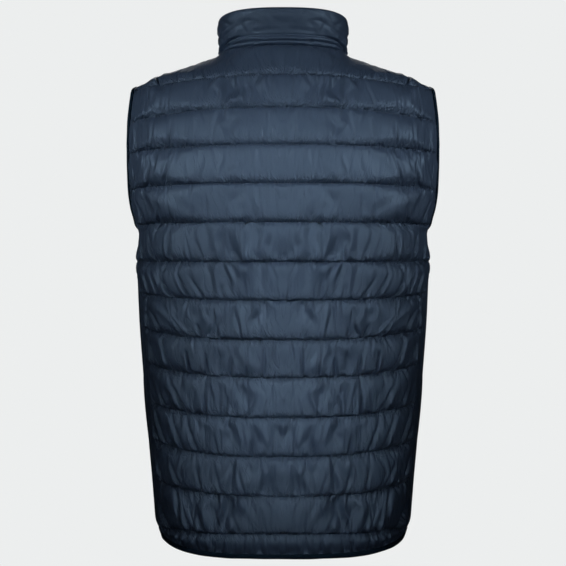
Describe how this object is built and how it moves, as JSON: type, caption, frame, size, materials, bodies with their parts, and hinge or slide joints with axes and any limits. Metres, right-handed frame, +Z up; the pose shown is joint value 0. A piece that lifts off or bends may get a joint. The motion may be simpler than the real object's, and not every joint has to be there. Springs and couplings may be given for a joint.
{
  "type": "padded work vest",
  "caption": "Sleeveless padded vest with horizontal quilting, plain side panels, stand collar, bound armholes and hem, and a closed front zip with a hinged pull tab.",
  "frame": {"origin": "middle of the neck opening, at the height where the shoulder seams meet the neck", "axes": "+Z up, front faces -Y, back faces +Y, +X to the wearer's left"},
  "size_m": [0.415, 0.3067, 0.72],
  "materials": {
    "shell": "satin woven nylon",
    "edge_tape": "matt folded tape",
    "zip_cloth": "woven tape",
    "zip_teeth": "moulded",
    "zip_metal": "dark satin"
  },
  "bodies": {
    "vest": {"back": "shell", "front_left": "shell", "front_right": "shell", "side_left": "shell", "side_right": "shell", "collar": "shell", "armhole_binding_left": "edge_tape", "armhole_binding_right": "edge_tape", "hem_binding": "edge_tape", "zip_tape_left": "zip_cloth", "zip_tape_right": "zip_cloth", "zip_chain": "zip_teeth", "zip_slider": "zip_metal"},
    "pull": {"zip_pull": "zip_metal"}
  },
  "joints": [
    {"name": "pull_hinge", "type": "hinge", "parent": "vest", "child": "pull", "pos_m": [0, -0.08571, 0.01343], "axis": [-1, 0, 0], "range_deg": [0, 170]}
  ]
}
